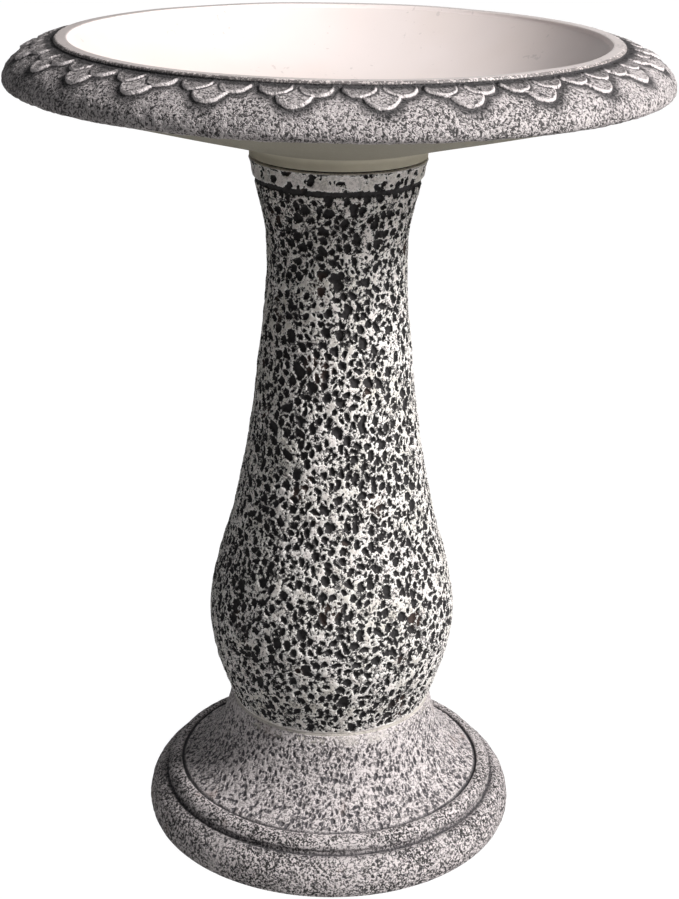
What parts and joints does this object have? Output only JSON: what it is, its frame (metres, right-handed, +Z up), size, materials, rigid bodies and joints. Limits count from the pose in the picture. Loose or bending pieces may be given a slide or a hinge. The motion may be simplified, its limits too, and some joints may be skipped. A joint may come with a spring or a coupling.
{
  "type": "bird bath",
  "caption": "Round bird bath: shallow cast bowl with a scalloped textured rim, resting on a pitted baluster pedestal bedded on a bell-shaped base.",
  "frame": {"origin": "centre of the base where it rests on the ground", "axes": "+Z up along the axis of the pedestal and bowl; the object is round, so +X and +Y are free, and a pair of large scallops straddles -Y"},
  "size_m": [0.519, 0.519, 0.6815],
  "materials": {
    "cream_cast": "cream cast fibre cement, satin inside, with a charcoal-washed, dry-brushed textured rim and scalloped border",
    "pitted_cast": "cream cast fibre cement with charcoal-washed irregular pits",
    "grey_cast": "grey cast fibre cement, fine pits and granite speckle, charcoal in the grooves",
    "mortar": "pale smooth trowelled bedding mortar",
    "foam_rubber": "matt black closed-cell foam rubber"
  },
  "bodies": {
    "stand": {"base": "grey_cast", "bedding_ring": "mortar", "pedestal": "pitted_cast"},
    "seat_gasket": {"seat_gasket": "foam_rubber"},
    "bowl": {"bowl": "cream_cast"}
  },
  "joints": [
    {"name": "bowl_turn", "type": "hinge", "parent": "stand", "child": "seat_gasket", "pos_m": [0, 0, 0.588], "axis": [0, 0, 1], "continuous": true},
    {"name": "bowl_lift", "type": "slide", "parent": "seat_gasket", "child": "bowl", "axis": [0, 0, 1], "range_m": [0, 0.08]}
  ]
}
